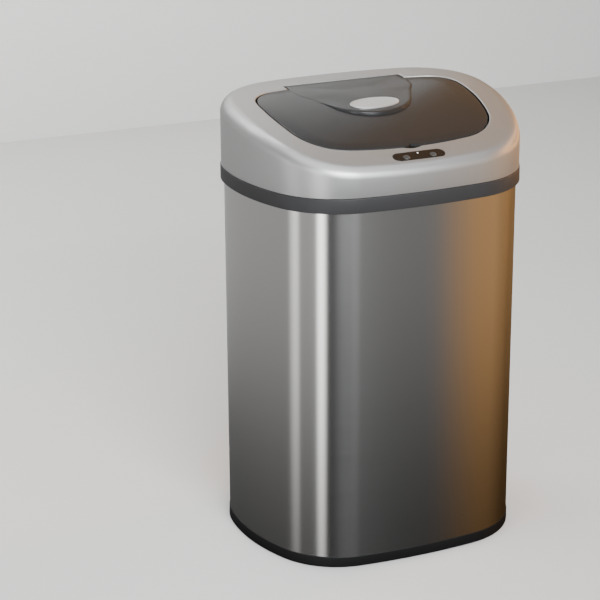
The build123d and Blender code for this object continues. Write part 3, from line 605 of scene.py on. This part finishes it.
# %% Holes in the head
DOOR_SIZE, DOOR_Z = (.126, .04, .064), .6404
SWITCH_SIZE, SWITCH_X, SWITCH_Z = (.013, .02, .019), -.112, .640
panel_slot = [panel_ring(stadium(PANEL_LENGTH, PANEL_WIDTH), height) for height in (-.01, .01)]
cut(head_skin, wrap("slot_cutter", panel_slot, True, True))
cut(head_skin, slab("door_cutter", DOOR_SIZE, (0, .18, DOOR_Z)))
switch_slope = -SWITCH_X / HEAD["back"]
switch_y = HEAD["depth"] / 2 - HEAD["back"] * (1 - sqrt(1 - switch_slope**2))
switch_turn = Matrix.Rotation(asin(switch_slope), 3, "Z")
cut(head_skin, slab("switch_cutter", SWITCH_SIZE, (SWITCH_X, switch_y, SWITCH_Z), switch_turn))
bpy.ops.object.shade_smooth_by_angle(angle=radians(30))
finish_piece(head_skin, "head", "head_cover", silver)

# %% [markdown]
# The collar that turns down inside the gap is painted black as shade, so that the gap reads as one thin
# black line.
# A second material slot does that: the faces of the collar are picked by how far they lie under the top.

# %% Dark collar of painted shade
# The foot's black doubles here as painted shade on the collar, so the gap looks dark.
head_skin.data.materials.append(black_foot_and_gap_shade)
edge_reach = [(point - CENTRE).length for point in edge_ring(0)]
painted_shade_faces = 0
for face in head_skin.data.polygons:
    middle = face.center
    if not .0010 < crown(middle.y) - middle.z < COLLAR_LOW + .0010:
        continue
    offset = middle.xy - CENTRE
    aim = offset.normalized()
    nearest = max(range(COUNT), key=lambda i: directions[i].dot(aim))
    if offset.length < edge_reach[nearest] + .0030:
        face.material_index = 1
        painted_shade_faces += 1
print(painted_shade_faces, "faces of the collar are dark")

# %% [markdown]
# ## The flap
# The flap follows the opening at an even gap, and its top lies a hair under the head's. Its edge is
# rounded, and a notch in the middle of the front lets a fingertip under it. The plate closes towards
# its centre with smaller and smaller rings. The notch's own wall is painted black as shade, like the gap.

# %% Flap plate
FLAP_GAP, FLAP_SUNK, TAB_BACK = .0025, .0005, .1175
NOTCH_RADIUS, NOTCH_HALF, NOTCH_BACK = .0065, .012, -.12
FLAP_ROUND, RIM_DEPTH, PLATE_UNDER, PLATE_EDGE = .0016, .0100, .0036, .0034


def flap_ring(grow):
    """The flap's outline with its hinge tab and its front notch."""
    ring = []
    for d, reach in zip(directions, opening_reach):
        far = max(reach - FLAP_GAP + grow, slot_reach(d, grow - FLAP_GAP, SLOT_HALF, TAB_BACK + FLAP_GAP))
        notch_y = OPENING["y"] - OPENING["depth"] / 2
        offset = Vector((0, notch_y)) - CENTRE
        along = offset.dot(d)
        rest = (NOTCH_RADIUS - grow) ** 2 - (offset.length_squared - along**2)
        if rest > 0 and along > 0:
            far = min(far, along - sqrt(rest))
        ring.append(CENTRE + d * far)
    return ring


RIM_INSIDE, RIM_OUTSIDE, RIM_TOP = -.0027, -.0012, -.0008
flap_rings = [on_crown(flap_ring(grow), RIM_DEPTH) for grow in (RIM_INSIDE, RIM_OUTSIDE)]
flap_rings.append(on_crown(flap_ring(RIM_TOP), PLATE_UNDER))
flap_rings.append(on_crown(flap_ring(0), PLATE_EDGE))
for share in (0, .25, .5, .75, 1):
    angle_now = pi / 2 * share
    edge_drop = FLAP_SUNK + FLAP_ROUND * (1 - sin(angle_now))
    flap_rings.append(on_crown(flap_ring(-FLAP_ROUND * (1 - cos(angle_now))), edge_drop))
flap_edge = flap_ring(-FLAP_ROUND)
for share in (.15, .3, .45, .6, .75, .9, .97):
    flap_rings.append(on_crown([p.lerp(CENTRE, share) for p in flap_edge], FLAP_SUNK))
flap = wrap("flap_plate", flap_rings, cap_last=True)
finish_piece(flap, "flap", "flap_panel", smoke)
# The notch's steep wall gets the foot's black as painted shade in the recess.
flap.data.materials.append(black_foot_and_gap_shade)
for face in flap.data.polygons:
    in_notch = face.center.y < NOTCH_BACK and abs(face.center.x) < NOTCH_HALF
    if in_notch and face.normal.z < .8:
        face.material_index = 1

# %% [markdown]
# ## The hood's outline
# A low hood runs from the hinge to the middle of the flap and ends in a round nose. In plan it is a
# circle's arc with sides of a few straight runs. In the side view its top is a curve of its own: the
# circle through three chosen points.

# %% Hood outline
def arc_height(points):
    """The height function of the circle through three points of the side view."""
    (ax, ay), (bx, by), (cx, cy) = points
    scale = 2 * (ax * (by - cy) + bx * (cy - ay) + cx * (ay - by))
    a2, b2, c2 = ax * ax + ay * ay, bx * bx + by * by, cx * cx + cy * cy
    x = (a2 * (by - cy) + b2 * (cy - ay) + c2 * (ay - by)) / scale
    z = (a2 * (cx - bx) + b2 * (ax - cx) + c2 * (bx - ax)) / scale
    radius = hypot(ax - x, ay - z)
    return lambda y: z + sqrt(radius**2 - (y - x) ** 2)


hood_top = arc_height(((-.044, .6889), (.030, .7014), (.120, .7062)))
NOSE, NOSE_Y, NOSE_HALF_ANGLE = .075, .037, radians(62)
NOSE_STEPS, SIDE_STEPS, BACK_STEPS = 80, 8, 24
HOOD_BACK, HOOD_BACK_HALF = .1150, .0965
hood_line = []
for step in range(NOSE_STEPS + 1):
    turn_now = -pi / 2 + NOSE_HALF_ANGLE * (2 * step / NOSE_STEPS - 1)
    hood_line.append(Vector((NOSE * cos(turn_now), NOSE_Y + NOSE * sin(turn_now))))
for x, y in ((.0825, .034), (.0985, .062), (.1020, .084), (HOOD_BACK_HALF, HOOD_BACK)):
    last = hood_line[-1]
    for step in range(1, SIDE_STEPS + 1):
        hood_line.append(last.lerp(Vector((x, y)), step / SIDE_STEPS))
left_side = [Vector((-p.x, p.y)) for p in reversed(hood_line[NOSE_STEPS + 1:])]
for step in range(1, BACK_STEPS):
    hood_line.append(Vector((HOOD_BACK_HALF * (1 - 2 * step / BACK_STEPS), HOOD_BACK)))
hood_line += left_side
print("hood outline of", len(hood_line), "points, nose at", round(hood_top(NOSE_Y - NOSE), 4), "m high")

# %% [markdown]
# ## The hood's surface
# At the nose the hood stands a few millimetres over the plate, and towards the back its edge comes down
# to a hair while the middle stays up. Both changes are smooth fades, because a moulded skin has no
# sudden bend. Its edge is rounded like the flap's.

# %% Hood surface
HOOD_CENTRE = Vector((0, .045))
HOOD_ROUND, HOOD_SKIRT, HOOD_HAIR = .0016, .0075, .00014


def fade(value, start, stop):
    """1 up to start, 0 from stop on, and a smooth fall between them."""
    share = min(1, max(0, (value - start) / (stop - start)))
    return 1 - share * share * (3 - 2 * share)


def hood_height(p, share):
    """The hood's top: its edge comes down to a hair over the plate at the back, its middle stays up."""
    plate = crown(p.y, FLAP_SUNK)
    step = max(HOOD_HAIR, (hood_top(p.y) - plate) * fade(p.y, -.035, .055))
    middle = hood_top(p.y) - plate
    doming = 1 - fade(share, 0, .8)
    return plate + step + (middle - step) * doming


def hood_ring(inset, drop):
    """The hood's edge drawn in by an inset and lowered by a drop."""
    ring = []
    for p in hood_line:
        inward = (HOOD_CENTRE - p).normalized()
        q = p + inward * inset
        ring.append((q.x, q.y, hood_height(q, 0) - drop))
    return ring


hood_rings = [hood_ring(-HOOD_ROUND / 2, HOOD_SKIRT)]
for share in (0, .25, .5, .75, 1):
    angle_now = pi / 2 * share
    hood_rings.append(hood_ring(HOOD_ROUND * (1 - cos(angle_now)), HOOD_ROUND * (1 - sin(angle_now))))
for share in (.08, .16, .24, .32, .4, .5, .6, .7, .8, .9, .96, .99):
    ring = []
    for p in hood_line:
        q = p.lerp(HOOD_CENTRE, share)
        ring.append((q.x, q.y, hood_height(q, share)))
    hood_rings.append(ring)
hood = wrap("flap_hood", hood_rings, cap_last=True)
finish_piece(hood, "flap", None, smoke)

# %% [markdown]
# ## The badge, left blank
# An oval plate lies on the hood. It is bare here: a shared part carries no name. Its rim is a small
# raised bead, so it catches a bright line of light.

# %% Badge
BADGE_LONG_HALF, BADGE_SHORT_HALF, BADGE_Y = .041, .019, -.004
FACE_LIFT, BEAD_LIFT = .0009, .0014


def oval_ring(inset, lift, count=96):
    """An oval drawn in by an inset and lifted over the hood's top."""
    ring = []
    for step in range(count):
        turn_now = 2 * pi * step / count
        y = BADGE_Y + (BADGE_SHORT_HALF - inset) * sin(turn_now)
        ring.append(((BADGE_LONG_HALF - inset) * cos(turn_now), y, hood_top(y) + lift))
    return ring


badge_profile = [(0, -.0005), (0, FACE_LIFT), (.0005, BEAD_LIFT), (.0013, BEAD_LIFT), (.0018, .0010)]
badge_profile += [(inset, FACE_LIFT) for inset in (.0030, .010, .0185)]
badge_rings = [oval_ring(inset, lift) for inset, lift in badge_profile]
badge = wrap("blank_badge", badge_rings, cap_first=True, cap_last=True)
finish_piece(badge, "flap", "flap_badge", badge_paint)

# %% [markdown]
# ## The sensor panel
# A glossy dark window sits in the slot, with two round push buttons and a small white lamp. The window's
# edge is softened, and it has a hole for each button to move in. Each button is a profile turned about
# its own axis, with a thin raised rim that catches the light.

# %% Sensor panel
BUTTON_X, BUTTON_Y, HOLE_RADIUS, LAMP_Y = .022, -.0035, .0056, .005
window_profile = [(.0003, -.0042), (.0003, -.0006), (.0008, 0)]
window_profile += [(inset, .0002) for inset in (.0016, .0030, .0095)]
window_rings = []
for inset, height in window_profile:
    window_outline = stadium(PANEL_LENGTH - 2 * inset, PANEL_WIDTH - 2 * inset)
    window_rings.append(panel_ring(window_outline, height))
window = wrap("sensor_glass", window_rings, cap_first=True, cap_last=True)


def turned(name, place_x, place_y, profile, count=40):
    """A round piece on the panel: profile is a list of (radius, height)."""
    rings = []
    for radius, height in profile:
        ring = []
        for step in range(count):
            turn_now = 2 * pi * step / count
            ring.append(Vector((place_x + radius * cos(turn_now), place_y + radius * sin(turn_now))))
        rings.append(panel_ring(ring, height))
    return wrap(name, rings, cap_first=True, cap_last=True)


for x in (-BUTTON_X, BUTTON_X):
    cut(window, turned("button_hole", x, BUTTON_Y, [(HOLE_RADIUS, -.008), (HOLE_RADIUS, .008)]))
bpy.ops.object.shade_smooth_by_angle(angle=radians(35))
finish_piece(window, "head", "sensor_window", gloss)
button_profile = [(.0052, -.004), (.0052, .0008), (.0049, .0012), (.0044, .0013), (.0040, .0011)]
button_profile += [(.0030, .0007), (.0005, .0005)]
for node, body, x in (("open_button", "button_open", BUTTON_X), ("close_button", "button_close", -BUTTON_X)):
    button = turned(node + "_cap", x, BUTTON_Y, button_profile)
    finish_piece(button, body, node, button_paint)
dot_profile = [(.0013, -.004), (.0013, .0003), (.0010, .0006), (.0004, .0008)]
dot = turned("status_dot", 0, LAMP_Y, dot_profile, 24)
finish_piece(dot, "head", "status_lamp", lamp)

# %% [markdown]
# ## Floor and wall
# The studio is a plain pale floor in front of a plain pale wall. The floor is hidden from mirrored rays,
# because a drum round the bin, a little further on, gives the steel all that it shows. The wall can be
# seen through from behind, so that a camera at the back of it still sees the bin.

# %% Floor and wall
FLOOR_SIZE, WALL_Y, WALL_HEIGHT = 12, 2.575, 6
PALE_FLOOR, PALE_WALL, MATT = (.68, .67, .65), (.80, .79, .77), .8
bpy.ops.object.select_all(action="DESELECT")
bpy.ops.mesh.primitive_plane_add(size=FLOOR_SIZE, location=(0, 0, 0))
floor = bpy.context.object
floor.name = "studio_floor"
floor.data.materials.append(new_material("pale_floor", PALE_FLOOR, 0, MATT)[0])
bpy.ops.mesh.primitive_plane_add(size=1, location=(0, 0, 0))
wall = bpy.context.object
wall.name = "studio_wall"
for vertex in wall.data.vertices:
    vertex.co = Vector((FLOOR_SIZE * vertex.co.x, WALL_Y, WALL_HEIGHT * (vertex.co.y + .5)))
wall_paint, wall_shader = new_material("pale_wall", PALE_WALL, 0, MATT)
wall_nodes, wall_links = wall_paint.node_tree.nodes, wall_paint.node_tree.links
side_seen = wall_nodes.new("ShaderNodeNewGeometry")
clear = wall_nodes.new("ShaderNodeBsdfTransparent")
either = wall_nodes.new("ShaderNodeMixShader")
wall_links.new(side_seen.outputs["Backfacing"], either.inputs["Fac"])
wall_links.new(wall_shader.outputs["BSDF"], either.inputs[1])
wall_links.new(clear.outputs["BSDF"], either.inputs[2])
wall_links.new(either.outputs["Shader"], wall_nodes["Material Output"].inputs["Surface"])
wall.data.materials.append(wall_paint)
floor.visible_glossy = False
print("floor of", FLOOR_SIZE, "m and a wall", WALL_HEIGHT, "m high")

# %% [markdown]
# ## What the metal mirrors
# Cards round a metal object let it mirror light and dark in the right places. Here one drum stands for
# all the cards. It glows by itself, and its shade runs with the compass direction: grey to the left, two
# bright strips by the camera, a dark stretch in front and a warm one to the right. It is dim below and
# brighter above. A small card behind on the right warms the flap. Only mirrored rays see the two: they
# throw no shadow and no light on the floor.

# %% Reflection drum and card
# Each shade runs between two compass directions in degrees: 0 is the front, and plus is to the right.
SHADES = [
    ("pale grey", -180, -93, (.36, .36, .36)), ("narrow strip", -84, -79, (1.3, 1.3, 1.3)),
    ("grey pier", -75, -53, (.42, .42, .42)), ("bright strip", -48, -44, (3.4, 3.4, 3.4)),
    ("dark corner", -38, -9, (.06, .06, .06)), ("dim front", 2, 27, (.18, .18, .18)),
    ("warm side", 39, 64, (.47, .27, .12)), ("warm shade", 100, 146, (.17, .10, .045)),
    ("pale grey", 158, 180, (.36, .36, .36)),
]
DRUM_RADIUS, DRUM_SIDES = 1.6, 240
# How strongly the drum glows at each height in metres.
GAIN_AT = {-1.9: .05, -.8: .12, -.45: .38, -.2: 1.0, 0: 1.35, .5: 1.5, 1.2: 1.5}
CARD_SIZE, CARD_PLACE, CARD_COLOUR = (1.0, .02, 1.7), (1.24, 1.01, 2.08), (.55, .28, .08, 1)


def glowing(name):
    """A material that only gives light, with its emission node."""
    material = bpy.data.materials.new(name)
    material.use_nodes = True
    nodes = material.node_tree.nodes
    nodes.clear()
    out = nodes.new("ShaderNodeOutputMaterial")
    light = nodes.new("ShaderNodeEmission")
    material.node_tree.links.new(light.outputs["Emission"], out.inputs["Surface"])
    return material, light


def only_mirrored(piece):
    """Hides a stage piece from all rays but mirrored ones."""
    for ray in ("camera", "diffuse", "transmission", "shadow", "volume_scatter"):
        setattr(piece, "visible_" + ray, False)


drum_rings = []
for height in GAIN_AT:
    ring = []
    for side in range(DRUM_SIDES):
        turn_now = 2 * pi * side / DRUM_SIDES
        ring.append((DRUM_RADIUS * cos(turn_now), DRUM_RADIUS * sin(turn_now), height))
    drum_rings.append(ring)
drum = wrap("mirror_drum", drum_rings)
stops = [(edge, colour) for _, start, stop, colour in SHADES for edge in (start, stop)]
shade = drum.data.color_attributes.new("shade", "FLOAT_COLOR", "POINT")
for vertex in drum.data.vertices:
    compass = degrees(atan2(vertex.co.x, -vertex.co.y))
    level = min(GAIN_AT, key=lambda z: abs(z - vertex.co.z))
    for (low, first), (high, second) in zip(stops, stops[1:]):
        if low <= compass <= high:
            share = (compass - low) / (high - low)
            colour = [(a + (b - a) * share) * GAIN_AT[level] for a, b in zip(first, second)]
    shade.data[vertex.index].color = (*colour, 1)
drum_glow, drum_light = glowing("glow")
drum_shade = drum_glow.node_tree.nodes.new("ShaderNodeVertexColor")
drum_shade.layer_name = "shade"
drum_glow.node_tree.links.new(drum_shade.outputs["Color"], drum_light.inputs["Color"])
drum.data.materials.append(drum_glow)
only_mirrored(drum)
card = slab("mirror_card", CARD_SIZE, CARD_PLACE, Matrix.Rotation(radians(-45), 3, "Z"))
card_glow, card_light = glowing("card_glow")
card_light.inputs["Color"].default_value = CARD_COLOUR
card.data.materials.append(card_glow)
only_mirrored(card)
print("drum of", len(SHADES), "shades and one warm card")

# %% [markdown]
# ## The lights
# A big soft light above and one behind the camera shape the head. One like a window on the left is
# weaker, and one on the right is small and warm. A wash keeps the wall pale.

# %% Lights
def area_light(name, place, aim, size, size_y, power, colour=(1, 1, 1), mirrored=True):
    """A soft lamp at a place, turned to what it lights, in watts."""
    bpy.ops.object.light_add(type="AREA", location=place)
    light = bpy.context.object
    light.name = name
    light.data.shape = "RECTANGLE"
    light.data.size, light.data.size_y = size, size_y
    light.data.energy = power
    light.data.color = colour
    light.rotation_euler = (Vector(aim) - Vector(place)).to_track_quat("-Z", "Y").to_euler()
    light.visible_glossy = mirrored
    return light


area_light("soft_top", (-.3, -.7, 2.6), (0, 0, .5), 2.6, 2.0, 29)
area_light("window_left", (-2.4, -.3, 1.5), (0, 0, .4), 1.6, 1.8, 14, (1, .98, .95), False)
area_light("soft_front", (-.5, -3.2, 1.9), (0, 0, .55), 1.8, 1.4, 225, (.94, .97, 1))
warm = area_light("warm_right", (2.2, .3, 1.1), (.1, 0, .70), .8, .5, 5, (1, .46, .14))
warm.data.spread = radians(45)
area_light("wall_wash", (-.8, 1.2, 2.4), (-.3, 2.6, .9), 2.0, .6, 60)
world = bpy.context.scene.world or bpy.data.worlds.new("room")
bpy.context.scene.world = world
world.use_nodes = True
sky = world.node_tree.nodes["Background"]
sky.inputs["Color"].default_value = (.75, .77, .80, 1)
sky.inputs["Strength"].default_value = .31
print("five lamps and a pale sky are set")
